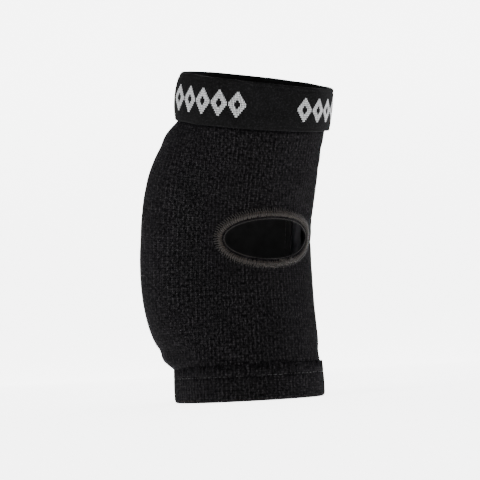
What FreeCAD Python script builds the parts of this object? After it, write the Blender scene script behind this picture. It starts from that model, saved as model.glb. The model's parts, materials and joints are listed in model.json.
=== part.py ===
"""Elbow pad for boxing and martial arts: a knitted sleeve with a foam pad at the back of the elbow.

Millimetres, +Z up the forearm. The origin is the centre of the lower opening, on the plane that the hem
stands on. -Y is the inside of the elbow, where the oval crease opening is, +Y is the padded side, and X runs
across the arm. The sleeve follows a bent centreline. A place on it is (angle, along, radius): the angle goes
round the arm from the crease towards +X, and along is the distance up the centreline from the lower edge.
"""
import FreeCAD, Part
import os
from math import atan2, ceil, cos, degrees, hypot, pi, radians, sin

from FreeCAD import Matrix, Vector

# --- the centreline: straight, an arc, straight again ---
REST_BEND = radians(15.0)
BEND_START = 70.0
BEND_END = 140.0
TOTAL_LENGTH = 211.0
CREASE_ALONG = 108.0

# --- the knitted tube's outer radius ---
ELBOW_RADIUS = 44.3
UPPER_RADIUS = 47.4
LOWER_RADIUS = 48.0
KNIT_THICK = 1.6

# --- the pad's bulge over that tube ---
PAD_BULGE = 23.3
PAD_MIDDLE = 104.5
PAD_LOWER_REACH = 80.0
PAD_UPPER_REACH = 76.5
PAD_LOWER_POWER = 3.3
PAD_LOWER_ROUND = 0.75
PAD_UPPER_POWER = 2.8
PAD_UPPER_ROUND = 1.0
BULGE_STARTS = radians(62.0)
BULGE_FULL = radians(120.0)

# --- the pad's layers, from the knit inwards: (distance out from the tube's face, share of the bulge) ---
FOAM_SHELL_OUT = (-2.0, 1.0)
FOAM_SHELL_IN = (-3.0, 0.5)
COMFORT_OUT = (-3.3, 0.5)
COMFORT_IN = (-4.1, 0.12)
LINING_OUT = (-4.4, 0.12)
LINING_IN = (-5.6, 0.12)
FOAM_HALF_ANGLE = radians(80.0)
FOAM_MARGIN = 5.0
LINING_HALF_ANGLE = radians(86.0)
LINING_MARGIN = 1.5
WEDGE_CORNER_Y = -4.0
WEDGE_OVERRUN = 20.0
LINING_SEAM_INSET = 2.5
LINING_SEAM_ANGLE = LINING_HALF_ANGLE - radians(7.0)
LINING_SEAM_PITCH = 5.0
LINING_SEAM_LENGTH = 3.0

# --- the three zones that the knit is divided into, so that the elbow can bend ---
ZONE_HALF_LENGTH = 45.0
ZONE_GAP = 0.3
ELBOW_ALONG = 105.0

# --- the crease opening: the line along the middle of its overlocked roll, then the roll ---
OPENING_PEAK = radians(-10.0)
OPENING_LEFT_REACH = radians(44.6)
OPENING_RIGHT_REACH = radians(45.0)
OPENING_LEFT_POWER = 2.1
OPENING_RIGHT_POWER = 2.0
OPENING_HALF_HEIGHT = 15.8
OPENING_TILT = radians(1.5)
BINDING_WIDTH = 6.6
BINDING_OUTSIDE = 1.2
BINDING_INSIDE = 1.2
LOOP_PITCH = 1.45
LOOP_RADIUS = 0.35
LOOP_LENGTH = 5.4
NEEDLE_PITCH = 2.9
NEEDLE_LENGTH = 2.0
NEEDLE_OUTSIDE_ROLL = 1.2
LOOP_LEAN = radians(80.0)
TAIL_LENGTH = 11.0
TAIL_RADIUS = 0.5
TAIL_TURN = radians(-52.0)
TAIL_LEAN = radians(12.0)

# --- the elastic cuff ---
CUFF_HEIGHT = 30.0
CUFF_LOW = TOTAL_LENGTH - CUFF_HEIGHT
CUFF_BORE_RADIUS = 47.6
CUFF_RADIUS = 51.0
CUFF_EDGE_DROP = 0.45
CUFF_LAP = 6.0
CUFF_LAP_RADIUS = 48.1
BACKING_THICK = 1.0
BACKING_INSET = 0.5
FACE_THICK = 1.1
STRAND_RADIUS = 0.4
STRAND_PITCH = 2.8
CUFF_SEAM_STITCHES = 72
CUFF_SEAM_HEIGHT = 3.2
CUFF_SEAM_LENGTH = 4.0
CUFF_SEAM_THREAD = 0.2
MOTIF_THICK = 0.3
MOTIF_LIFT = 0.1
MOTIF_HEIGHT = 16.0
MOTIF_WIDTH = 11.4
MOTIF_STEPS = 6
MOTIF_CUT_DEPTH = 20.0
MOTIF_SPACING = radians(14.0)
MOTIF_PER_GROUP = 5
MOTIF_GROUP_ANGLES = [radians(-75.0), radians(32.0), radians(139.0)]
BAND_JOIN_ANGLE = radians(-155.0)
JOIN_STITCHES = 14
JOIN_LEAN = radians(35.0)
JOIN_LENGTH = 3.0

# --- the hem ---
HEM_HEIGHT = 23.0
HEM_RADIUS = 49.4
HEM_BORE_RADIUS = 45.0
HEM_PLY = 1.2
HEM_BORE_HEIGHT = 13.0
HEM_EASE = 0.8
HEM_EDGE = 0.5
INNER_PLY_DROP = 1.0
HEM_STITCH_ALONG = 16.0
HEM_STITCH_PITCH = 3.6
HEM_STITCH_LENGTH = 2.6
LOOPER_LEAN = radians(60.0)

THREAD_RADIUS = 0.25
THREAD_LIFT = 0.1
CLEAR = 0.3
FAR = 200.0
SECTION_POINTS = 36
OUTLINE_POINTS = 36
LOFT_LOW = 24.0
LOFT_SPACING = 8.0
LOFT_SECTIONS = 20
LOFT_OVERRUN = 8.0


# ---------------------------------------------------------------- where things are
def centre(along):
    """The centreline's point, its direction, and the direction from it to the crease."""
    if along < BEND_START:
        turn = 0.0
    else:
        turn = REST_BEND * (min(along, BEND_END) - BEND_START) / (BEND_END - BEND_START)
    bend_radius = (BEND_END - BEND_START) / REST_BEND
    up = Vector(0, -sin(turn), cos(turn))
    front = Vector(0, -cos(turn), -sin(turn))
    if along < BEND_START:
        point = Vector(0, 0, along)
    else:
        point = Vector(0, -bend_radius * (1 - cos(turn)), BEND_START + bend_radius * sin(turn))
        point = point + up * max(0.0, along - BEND_END)
    return point, up, front


def place(angle, along, radius):
    point, _, front = centre(along)
    return point + Vector(radius * sin(angle), 0, 0) + front * (radius * cos(angle))


def smooth(x):
    x = min(1.0, max(0.0, x))
    return x * x * (3 - 2 * x)


def tube_radius(along):
    """The tube narrows towards the elbow."""
    if along > CREASE_ALONG:
        rise = (along - CREASE_ALONG) / (TOTAL_LENGTH - CUFF_HEIGHT - CREASE_ALONG)
        return ELBOW_RADIUS + (UPPER_RADIUS - ELBOW_RADIUS) * min(1.0, rise) ** 2
    rise = (CREASE_ALONG - along) / (CREASE_ALONG - HEM_HEIGHT)
    return ELBOW_RADIUS + (LOWER_RADIUS - ELBOW_RADIUS) * min(1.0, rise) ** 2


def bulge(angle, along):
    """How far the pad lifts the knit off the tube."""
    angle = abs((angle + pi) % (2 * pi) - pi)
    upper = along > PAD_MIDDLE
    u = (along - PAD_MIDDLE) / (PAD_UPPER_REACH if upper else PAD_LOWER_REACH)
    if abs(u) >= 1:
        return 0.0
    power = PAD_UPPER_POWER if upper else PAD_LOWER_POWER
    edge = PAD_UPPER_ROUND if upper else PAD_LOWER_ROUND
    round_arm = smooth((angle - BULGE_STARTS) / (BULGE_FULL - BULGE_STARTS))
    return PAD_BULGE * (1 - abs(u) ** power) ** edge * round_arm


def radius_at(angle, along, layer=(0.0, 1.0)):
    offset, share = layer
    return tube_radius(along) + offset + share * bulge(angle, along)


def frame_at(angle, along, radius):
    """A placement whose Z points out of the surface, Y up along the arm and X round it."""
    _, up, front = centre(along)
    out = Vector(sin(angle), 0, 0) + front * cos(angle)
    round_arm = up.cross(out)
    at = place(angle, along, radius)
    return FreeCAD.Placement(Matrix(
        round_arm.x, up.x, out.x, at.x,
        round_arm.y, up.y, out.y, at.y,
        round_arm.z, up.z, out.z, at.z,
        0, 0, 0, 1))


# ---------------------------------------------------------------- solids to build from
def loft(alongs, layer, straight):
    """A closed solid through the sections of one layer's surface at those distances along the arm."""
    sections = []
    for along in alongs:
        angles = [2 * pi * i / SECTION_POINTS for i in range(SECTION_POINTS)]
        points = [place(a, along, radius_at(a, along, layer)) for a in angles]
        curve = Part.BSplineCurve()
        curve.interpolate(Points=points, PeriodicFlag=True)
        sections.append(Part.Wire([curve.toShape()]))
    return Part.makeLoft(sections, True, straight)


def envelope(layer):
    """A closed solid inside one layer's surface, longer than the sleeve at both ends.

    It is smooth over the pad, and straight along the arm inside the hem and inside the cuff.
    """
    over_pad = [LOFT_LOW + LOFT_SPACING * i for i in range(LOFT_SECTIONS)]
    in_hem = [-LOFT_OVERRUN, over_pad[0]]
    in_cuff = [over_pad[-1], PAD_MIDDLE + PAD_UPPER_REACH, TOTAL_LENGTH + LOFT_OVERRUN]
    ends = [loft(in_hem, layer, True), loft(in_cuff, layer, True)]
    return loft(over_pad, layer, False).fuse(ends)


def half_space(along, keep_above):
    """A large block that ends at the section plane there."""
    point, up, front = centre(along)
    block = Part.makeBox(2 * FAR, 2 * FAR, FAR, Vector(-FAR, -FAR, 0))
    side = up if keep_above else up * -1
    turn = FreeCAD.Rotation(Vector(0, 0, 1), side)
    block.Placement = FreeCAD.Placement(point, turn)
    return block


def slice_of(solid, low, high):
    return solid.common(half_space(low, True)).common(half_space(high, False))


def sector(half_angle):
    """A wedge of that half angle about the padded side, for cutting a layer's two long edges."""
    corner = Vector(0, WEDGE_CORNER_Y, -WEDGE_OVERRUN)
    reach = 2 * FAR
    steps = 8
    points = [corner]
    for i in range(steps + 1):
        a = pi - half_angle + 2 * half_angle * i / steps
        points.append(corner + Vector(reach * sin(a), -reach * cos(a), 0))
    points.append(corner)
    return Part.Face(Part.makePolygon(points)).extrude(Vector(0, 0, TOTAL_LENGTH + 3 * WEDGE_OVERRUN))


def opening_outline(t, grow):
    """(angle, along) at turn t of the line that far outside the middle of the crease opening's roll.

    It is an oval, a little blunter at its left end than at its right one.
    """
    c, s = cos(t), sin(t)
    reach = OPENING_RIGHT_REACH if c > 0 else OPENING_LEFT_REACH
    power = OPENING_RIGHT_POWER if c > 0 else OPENING_LEFT_POWER
    wide = reach * ELBOW_RADIUS + grow
    high = OPENING_HALF_HEIGHT + grow
    x = wide * abs(c) ** (2 / power) * (1 if c > 0 else -1)
    y = high * abs(s) ** (2 / power) * (1 if s > 0 else -1)
    x, y = x * cos(OPENING_TILT) - y * sin(OPENING_TILT), y * cos(OPENING_TILT) + x * sin(OPENING_TILT)
    angle = OPENING_PEAK + x / ELBOW_RADIUS
    return angle, CREASE_ALONG + y / crease_shortening(angle)


def crease_shortening(angle):
    """How much shorter the bent tube's wall is than its centreline there."""
    bend_radius = (BEND_END - BEND_START) / REST_BEND
    return 1 - ELBOW_RADIUS * cos(angle) / bend_radius


def opening_prism(grow):
    """The crease opening's outline, grown by that much all round, run through the front wall."""
    point, up, front = centre(CREASE_ALONG)
    points = []
    for i in range(OUTLINE_POINTS):
        angle, along = opening_outline(2 * pi * (i + 0.5) / OUTLINE_POINTS, grow)
        offset = place(angle, along, ELBOW_RADIUS) - point
        points.append(point + Vector(offset.x, 0, 0) + up * offset.dot(up))
    curve = Part.BSplineCurve()
    curve.interpolate(Points=points, PeriodicFlag=True)
    return Part.Face(Part.Wire([curve.toShape()])).extrude(front * (2 * ELBOW_RADIUS))


def ring(profile, low_along):
    """A profile of (radius, height) points turned about the centreline where it is straight."""
    points = [Vector(r, 0, h) for r, h in profile]
    face = Part.Face(Part.makePolygon([*points, points[0]]))
    solid = face.revolve(Vector(0, 0, 0), Vector(0, 0, 1), 360)
    point, up, _ = centre(low_along)
    solid.Placement = FreeCAD.Placement(point, FreeCAD.Rotation(Vector(0, 0, 1), up))
    return solid


def bar(angle, along, radius, length, across, thick=THREAD_RADIUS):
    """A short straight stretch of thread lying on the surface, turned by across from the direction round."""
    thread = Part.makeCylinder(thick, length, Vector(-length / 2, 0, 0), Vector(1, 0, 0))
    thread.rotate(Vector(0, 0, 0), Vector(0, 0, 1), degrees(across))
    thread.Placement = frame_at(angle, along, radius).multiply(thread.Placement)
    return thread


# ---------------------------------------------------------------- the knitted sleeve
def knit_zones(parts):
    """One knitted tube, in three lengths, with the oval crease opening in the middle one."""
    tube = envelope((0.0, 1.0)).cut(envelope((-KNIT_THICK, 1.0)))
    low = ELBOW_ALONG - ZONE_HALF_LENGTH
    high = ELBOW_ALONG + ZONE_HALF_LENGTH
    bottom = HEM_PLY + CLEAR
    top = TOTAL_LENGTH - CUFF_HEIGHT + CUFF_LAP - CLEAR
    elbow = slice_of(tube, low + ZONE_GAP / 2, high - ZONE_GAP / 2)
    parts["sleeve_knit_lower"] = slice_of(tube, bottom, low - ZONE_GAP / 2)
    parts["sleeve_knit_elbow"] = elbow.cut(opening_prism(BINDING_WIDTH / 2 + CLEAR))
    parts["sleeve_knit_upper"] = slice_of(tube, high + ZONE_GAP / 2, top)


# ---------------------------------------------------------------- the pad
def pad_layer(outside, inside, half_angle, margin):
    shell = envelope(outside).cut(envelope(inside)).common(sector(half_angle))
    low = PAD_MIDDLE - PAD_LOWER_REACH + margin
    high = PAD_MIDDLE + PAD_UPPER_REACH - margin
    return slice_of(shell, low, high)


def pad(parts):
    parts["foam_shell"] = pad_layer(FOAM_SHELL_OUT, FOAM_SHELL_IN, FOAM_HALF_ANGLE, FOAM_MARGIN)
    parts["foam_comfort_layer"] = pad_layer(COMFORT_OUT, COMFORT_IN, FOAM_HALF_ANGLE, FOAM_MARGIN)
    parts["pad_lining"] = pad_layer(LINING_OUT, LINING_IN, LINING_HALF_ANGLE, LINING_MARGIN)


def pad_lining_stitches(parts):
    """The seam round the lining's edge, on its inner face: its two long sides, then its two ends."""
    under = (LINING_IN[0] - 2 * THREAD_RADIUS, LINING_IN[1])
    inset = LINING_MARGIN + LINING_SEAM_INSET
    low = PAD_MIDDLE - PAD_LOWER_REACH + inset
    high = PAD_MIDDLE + PAD_UPPER_REACH - inset
    threads = []
    for i in range(int((high - low) / LINING_SEAM_PITCH)):
        along = low + LINING_SEAM_PITCH * (i + 0.5)
        for angle in (pi - LINING_SEAM_ANGLE, pi + LINING_SEAM_ANGLE):
            radius = radius_at(angle, along, under)
            threads.append(bar(angle, along, radius, LINING_SEAM_LENGTH, pi / 2))
    count = ceil(2 * LINING_SEAM_ANGLE * ELBOW_RADIUS / LINING_SEAM_PITCH)
    for i in range(count):
        angle = pi - LINING_SEAM_ANGLE + 2 * LINING_SEAM_ANGLE * (i + 0.5) / count
        for along in (low, high):
            radius = radius_at(angle, along, under)
            threads.append(bar(angle, along, radius, LINING_SEAM_LENGTH, 0.0))
    parts["pad_lining_stitches"] = Part.makeCompound(threads)


# ---------------------------------------------------------------- the crease opening's edge
def outline_heading(t, grow):
    """Which way the opening's outline runs at turn t, as an angle from the direction round the arm."""
    step = 0.02
    ahead = opening_outline(t + step, grow)
    behind = opening_outline(t - step, grow)
    shortening = crease_shortening(ahead[0])
    return atan2((ahead[1] - behind[1]) * shortening, (ahead[0] - behind[0]) * ELBOW_RADIUS)


def turns_round_the_opening(grow, pitch):
    """The turns at which the outline has gone one more pitch, all the way round."""
    steps = 1440
    places = [opening_outline(2 * pi * i / steps, grow) for i in range(steps + 1)]
    lengths = [0.0]
    for a, b in zip(places, places[1:]):
        rise = (b[1] - a[1]) * crease_shortening(a[0])
        lengths.append(lengths[-1] + hypot((b[0] - a[0]) * ELBOW_RADIUS, rise))
    count = round(lengths[-1] / pitch)
    found = []
    i = 0
    for n in range(count):
        while lengths[i + 1] < lengths[-1] * n / count:
            i += 1
        found.append(2 * pi * i / steps)
    return found


def crease_binding(parts):
    """The overlocked roll round the opening: its filling, its loops, its needle thread and its tail."""
    half = BINDING_WIDTH / 2
    wall = envelope((BINDING_OUTSIDE, 1.0)).cut(envelope((-KNIT_THICK - BINDING_INSIDE, 1.0)))
    parts["crease_binding_roll"] = wall.common(opening_prism(half).cut(opening_prism(-half)))
    over_roll = BINDING_OUTSIDE + LOOP_RADIUS + THREAD_LIFT
    loops = []
    for t in turns_round_the_opening(0.0, LOOP_PITCH):
        angle, along = opening_outline(t, 0.0)
        across = outline_heading(t, 0.0) + LOOP_LEAN
        radius = radius_at(angle, along) + over_roll
        loops.append(bar(angle, along, radius, LOOP_LENGTH, across, LOOP_RADIUS))
    parts["crease_binding_loops"] = Part.makeCompound(loops)
    needles = []
    outside = half + NEEDLE_OUTSIDE_ROLL
    for t in turns_round_the_opening(outside, NEEDLE_PITCH):
        angle, along = opening_outline(t, outside)
        radius = radius_at(angle, along) + THREAD_RADIUS + THREAD_LIFT
        needles.append(bar(angle, along, radius, NEEDLE_LENGTH, outline_heading(t, outside)))
    parts["crease_binding_needle_thread"] = Part.makeCompound(needles)
    angle, along = opening_outline(TAIL_TURN, 0.0)
    heading = outline_heading(TAIL_TURN, 0.0) + TAIL_LEAN
    radius = radius_at(angle, along) + over_roll + LOOP_RADIUS + TAIL_RADIUS + CLEAR
    parts["crease_binding_tail"] = bar(angle, along, radius, TAIL_LENGTH, heading, TAIL_RADIUS)


# ---------------------------------------------------------------- the elastic cuff
def barrel(radius, proud):
    """The cuff's slightly crowned outline, (radius, height) points from its lower edge to its upper."""
    steps = 8
    points = []
    for i in range(steps + 1):
        v = 2 * i / steps - 1
        drop = CUFF_EDGE_DROP * v ** 4
        points.append((radius + proud - drop, CUFF_HEIGHT * i / steps))
    return points


def cuff_bands(parts):
    """The jacquard face and the plain backing of the elastic band."""
    outline = barrel(CUFF_RADIUS, 0.0)
    inner = CUFF_RADIUS - FACE_THICK - CUFF_EDGE_DROP
    parts["cuff_band_face"] = ring([(inner, 0), *outline, (inner, CUFF_HEIGHT)], CUFF_LOW)
    outer = CUFF_BORE_RADIUS + BACKING_THICK
    top = CUFF_HEIGHT - BACKING_INSET
    backing = [
        (CUFF_LAP_RADIUS, BACKING_INSET),
        (outer, BACKING_INSET),
        (outer, top),
        (CUFF_BORE_RADIUS, top),
        (CUFF_BORE_RADIUS, CUFF_LAP),
        (CUFF_LAP_RADIUS, CUFF_LAP),
    ]
    parts["cuff_band_backing"] = ring(backing, CUFF_LOW)


def cuff_elastic_strands(parts):
    """Covered rubber threads, side by side between the face and the backing."""
    point, up, _ = centre(CUFF_LOW)
    inner = CUFF_BORE_RADIUS + BACKING_THICK
    outer = CUFF_RADIUS - FACE_THICK - CUFF_EDGE_DROP
    strands = []
    height = STRAND_PITCH / 2
    while height < CUFF_HEIGHT:
        strands.append(Part.makeTorus((inner + outer) / 2, STRAND_RADIUS, point + up * height, up))
        height += STRAND_PITCH
    parts["cuff_elastic_strands"] = Part.makeCompound(strands)


def stepped_diamond(angle):
    """A diamond whose sides go in steps, as a pattern knitted or woven in rows does."""
    rise = MOTIF_HEIGHT / 2 / MOTIF_STEPS
    corners = []
    for i in range(MOTIF_STEPS):
        half = MOTIF_WIDTH / 2 * (i + 1) / MOTIF_STEPS
        corners.append((half, rise * i - MOTIF_HEIGHT / 2))
        corners.append((half, rise * (i + 1) - MOTIF_HEIGHT / 2))
    lower = corners[:-1]
    right = lower + [(x, -y) for x, y in reversed(lower)]
    outline = right + [(-x, y) for x, y in reversed(right)]
    points = [Vector(x, y, 0) for x, y in outline]
    prism = Part.Face(Part.makePolygon([*points, points[0]])).extrude(Vector(0, 0, MOTIF_CUT_DEPTH))
    prism.Placement = frame_at(angle, CUFF_LOW + CUFF_HEIGHT / 2, CUFF_RADIUS - MOTIF_CUT_DEPTH / 2)
    return prism


def cuff_motif(parts):
    """Groups of stepped diamonds in pale yarn, standing a little proud of the face."""
    outside = barrel(CUFF_RADIUS, MOTIF_LIFT + MOTIF_THICK)
    inside = barrel(CUFF_RADIUS, MOTIF_LIFT)
    skin = ring([*inside, *reversed(outside)], CUFF_LOW)
    diamonds = []
    for group in MOTIF_GROUP_ANGLES:
        for i in range(MOTIF_PER_GROUP):
            angle = group + MOTIF_SPACING * (i - (MOTIF_PER_GROUP - 1) / 2)
            diamonds.append(skin.common(stepped_diamond(angle)))
    parts["cuff_motif_yarns"] = Part.makeCompound(diamonds)


def cuff_threads(parts):
    """The seam that holds the cuff to the knit, and the zigzag that closes the band into a loop."""
    radius = (CUFF_LAP_RADIUS + UPPER_RADIUS) / 2
    seam = []
    for i in range(CUFF_SEAM_STITCHES):
        angle = 2 * pi * i / CUFF_SEAM_STITCHES
        along = CUFF_LOW + CUFF_SEAM_HEIGHT
        seam.append(bar(angle, along, radius, CUFF_SEAM_LENGTH, pi / 2, CUFF_SEAM_THREAD))
    parts["cuff_attach_stitches"] = Part.makeCompound(seam)
    zigzag = []
    for i in range(JOIN_STITCHES):
        height = CUFF_HEIGHT * (i + 0.5) / JOIN_STITCHES
        drop = CUFF_EDGE_DROP * (2 * height / CUFF_HEIGHT - 1) ** 4
        radius = CUFF_RADIUS - drop + THREAD_RADIUS + THREAD_LIFT
        lean = JOIN_LEAN if i % 2 else -JOIN_LEAN
        zigzag.append(bar(BAND_JOIN_ANGLE, CUFF_LOW + height, radius, JOIN_LENGTH, lean))
    parts["cuff_join_stitches"] = Part.makeCompound(zigzag)


# ---------------------------------------------------------------- the hem
def hem(parts):
    """A band folded round the sleeve's lower edge, and the two threads of its cover seam."""
    inner, outer = HEM_BORE_RADIUS, HEM_RADIUS
    inner_top = HEM_HEIGHT - INNER_PLY_DROP
    profile = [
        (inner, 0),
        (outer - HEM_EDGE, 0),
        (outer, HEM_EDGE),
        (outer, HEM_HEIGHT - HEM_EDGE),
        (outer - HEM_EDGE, HEM_HEIGHT),
        (outer - HEM_PLY, HEM_HEIGHT),
        (outer - HEM_PLY, HEM_PLY),
        (inner + HEM_PLY, HEM_PLY),
        (inner + HEM_PLY, inner_top),
        (inner + HEM_EASE, inner_top),
        (inner + HEM_EASE, HEM_BORE_HEIGHT),
        (inner, HEM_BORE_HEIGHT),
    ]
    parts["hem_band"] = ring(profile, 0.0)
    outside = outer + THREAD_RADIUS + THREAD_LIFT
    inside = inner + HEM_EASE / 2
    count = round(2 * pi * outer / HEM_STITCH_PITCH)
    dashes, looper = [], []
    for i in range(count):
        angle = 2 * pi * i / count
        lean = LOOPER_LEAN if i % 2 else -LOOPER_LEAN
        dashes.append(bar(angle, HEM_STITCH_ALONG, outside, HEM_STITCH_LENGTH, 0.0))
        looper.append(bar(angle, HEM_STITCH_ALONG, inside, HEM_STITCH_LENGTH, lean))
    parts["hem_cover_stitches"] = Part.makeCompound(dashes)
    parts["hem_looper_thread"] = Part.makeCompound(looper)


def main():
    parts = {}
    knit_zones(parts)
    pad(parts)
    pad_lining_stitches(parts)
    crease_binding(parts)
    cuff_bands(parts)
    cuff_elastic_strands(parts)
    cuff_motif(parts)
    cuff_threads(parts)
    hem(parts)
    os.makedirs("parts", exist_ok=True)
    for name, shape in parts.items():
        print(f"{name}: {len(shape.Solids)} solids, valid {shape.isValid()}, {shape.Volume:.1f} mm3")
        shape.exportStep(f"parts/{name}.step")


main()
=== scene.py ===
"""Looks of the elbow pad: a knitted sleeve over a foam pad, with an overlocked crease opening, a woven
elastic cuff and a folded hem. Metres, in the frame of the CAD model.

A place on the sleeve is (angle, along, lift): the angle goes round the arm from the crease towards +X,
along is the distance up the bent centreline from the hem, and lift is the distance out from the knit's face.
"""
import json
from math import atan2, cos, pi, radians, sin

import bpy
import numpy as np
from mathutils import Matrix, Vector
from mathutils.bvhtree import BVHTree


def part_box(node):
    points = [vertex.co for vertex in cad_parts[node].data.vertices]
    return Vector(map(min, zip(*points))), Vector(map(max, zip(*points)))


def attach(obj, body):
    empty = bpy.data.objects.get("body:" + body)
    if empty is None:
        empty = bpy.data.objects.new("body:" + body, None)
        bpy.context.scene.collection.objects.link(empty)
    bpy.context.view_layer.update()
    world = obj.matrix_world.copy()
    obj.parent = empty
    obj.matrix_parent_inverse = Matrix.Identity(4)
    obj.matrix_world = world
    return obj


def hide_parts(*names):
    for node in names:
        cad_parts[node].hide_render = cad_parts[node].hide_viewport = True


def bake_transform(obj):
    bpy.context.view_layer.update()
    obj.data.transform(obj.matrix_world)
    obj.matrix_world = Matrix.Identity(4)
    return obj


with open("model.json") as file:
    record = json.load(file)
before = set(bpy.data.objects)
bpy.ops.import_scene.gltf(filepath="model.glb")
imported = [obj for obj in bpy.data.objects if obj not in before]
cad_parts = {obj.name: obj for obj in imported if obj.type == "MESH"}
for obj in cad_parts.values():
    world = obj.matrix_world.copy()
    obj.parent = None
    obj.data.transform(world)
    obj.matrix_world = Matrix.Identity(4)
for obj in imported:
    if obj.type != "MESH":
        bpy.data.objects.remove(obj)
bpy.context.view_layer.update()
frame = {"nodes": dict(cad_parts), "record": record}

MM = 0.001

# --- the centreline: straight, an arc, straight again; its bend is the cuff opening's tilt
BEND_START = 70 * MM
BEND_END = 140 * MM
MOUNTS = {mount["name"]: mount for mount in frame["record"]["mounts"]}
CUFF_AXIS = MOUNTS["upper_arm_opening"]["axis"]
REST_BEND = atan2(-CUFF_AXIS[1], CUFF_AXIS[2])
BEND_RADIUS = (BEND_END - BEND_START) / REST_BEND
TOTAL_LENGTH = 211 * MM

# --- where the sleeve bends with the arm
FOREARM, UPPER_ARM = "forearm_section", "upper_arm_section"

# --- the knit
WALES = 110
COLUMNS_PER_WALE = 6
COLUMNS = WALES * COLUMNS_PER_WALE
COURSE = 1.56 * MM
KNIT_THICK = 1.6 * MM
RIB_HEIGHT = 0.34 * MM
RIB_PROFILE = np.array([0.0, 0.75, 1.0, 0.75, 0.0, 0.5])
BACK_OF_TUBE = radians(61)

# --- how the foam's ends fill the knit, over the CAD model's plain bulge: (along, spread, height)
FULLNESS = [(27.2 * MM, 4.2 * MM, 3.0 * MM), (171 * MM, 7 * MM, 1.3 * MM)]
FULLNESS_ANGLES = (radians(70), radians(115))

# --- a thread's ends, as shares of its radius: the last ring's size, and how far the tip stands out
THREAD_END_SIZE, THREAD_TIP = 0.62, 0.6

# --- the cloth simulation that settles the knit on the foam
SETTLING_FRAMES = 20
FOAM_PRESSURE = 4.0
KNIT_SLACK = 0.012
SETTLING_SHARE = 0.6
SETTLING_LIMIT = 0.9 * MM

# --- the crease opening: the line along the middle of its roll, then the roll
CREASE_ALONG = 108.0 * MM
ELBOW_RADIUS = 44.3 * MM
OPENING_PEAK = radians(-10)
OPENING_REACH = (radians(44.6), radians(45.0))
OPENING_POWER = (2.1, 2.0)
OPENING_HALF_HEIGHT = 15.8 * MM
OPENING_TILT = radians(1.5)
ROLL_OUTSIDE = 0.2 * MM
ROLL_HALF_WIDTH = 1.4 * MM
ROLL_HALF_THICK = 1.5 * MM
ROLL_THIN_TURN, ROLL_THIN_REACH, ROLL_THINNING = radians(-35), 0.6, 0.25
ROLL_CORE = 0.86
ROLL_POINTS = 720
OVERLOCK_STITCHES = 118
WRAP_START, WRAP_END = radians(-28), radians(218)
EDGE_WEAVES, EDGE_POINTS = 70, 900
OPENING_PULL, PULL_AT, PULL_SPREAD = 0.5 * MM, 7.5 * MM, 2.6 * MM
PUCKER, PUCKERS = 0.25 * MM, 34
EDGE_INSIDE = 3.05 * MM
TAIL_TURNS = (radians(-108), radians(-60))

# --- the hem
HEM_RADIUS, _, HEM_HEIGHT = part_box("hem_band")[1]
HEM_BORE = MOUNTS["forearm_opening"]["dims"]["r_mm"] * MM
HEM_PLY = 1.2 * MM
HEM_STITCHES = 86
HEM_STITCH_ALONG = 16 * MM

# --- the cuff
CUFF_HEIGHT = 30 * MM
CUFF_LOW = TOTAL_LENGTH - CUFF_HEIGHT
CUFF_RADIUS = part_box("cuff_band_face")[1].x
CUFF_BORE = MOUNTS["upper_arm_opening"]["dims"]["r_mm"] * MM
CUFF_FACE_THICK = 1.5 * MM
CUFF_BACKING_THICK = 1.0 * MM
CUFF_EDGE_DROP = 0.45 * MM
CUFF_RIBS = 236
CUFF_JOIN_ANGLE = radians(-155)
CUFF_SKEW_ANGLE = radians(55)
CUFF_SKEW_LOW = 0.35 * MM
CUFF_SKEW = 1.25 * MM
CUFF_RIM_FAR, CUFF_RIM_FRONT, CUFF_RIM_LOW = 1.1 * MM, 0.75 * MM, 0.25 * MM
CUFF_SLACK = 0.3 * MM
CUFF_WELT, CUFF_WELT_AT = 0.30 * MM, CUFF_HEIGHT - 2.7 * MM
CUFF_PINCH, CUFF_PINCH_AT = 0.18 * MM, 2.4 * MM
CUFF_FLARE, CUFF_CROWN, CUFF_TURNED_IN = 0.3 * MM, 1.7 * MM, 1.1 * MM
CUFF_GAP = 2.0 * MM
STRAND_LOW = 1.4 * MM
STRAND_PITCH = 2.7 * MM
STRAND_COUNT = 11
STRAND_RADIUS = 0.4 * MM
STRAND_AT = (CUFF_RADIUS - CUFF_FACE_THICK + CUFF_BORE + CUFF_BACKING_THICK) / 2
MOTIF_GROUPS = [radians(-75), radians(32), radians(139)]
MOTIF_PER_GROUP = 5
MOTIF_SPACING = radians(14)
MOTIF_STEPS = 6
MOTIF_HALF_WIDTH = 5.7 * MM
MOTIF_HALF_HEIGHT = 8 * MM
MOTIF_HOLLOW = 0.42

# --- the pad: its ends, its seam, and its layers: distances out from the tube, and shares of the bulge
PAD_LOW = 24.5 * MM
PAD_HIGH = 181.0 * MM
LINING_SEAM_INSET = 4.0 * MM
LINING_SEAM_HALF_ANGLE = radians(79)
LINING_STITCHES = 110
LINING_HALF_ANGLE = radians(86)
LINING_MARGIN = 1.5 * MM
FOAM_HALF_ANGLE = radians(80)
FOAM_MARGIN = 5 * MM
FOAM = (-2.0 * MM, 1.0), (-3.0 * MM, 0.5)
COMFORT = (-3.3 * MM, 0.5), (-4.1 * MM, 0.12)
LINING = (-4.4 * MM, 0.12), (-5.6 * MM, 0.12)

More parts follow.
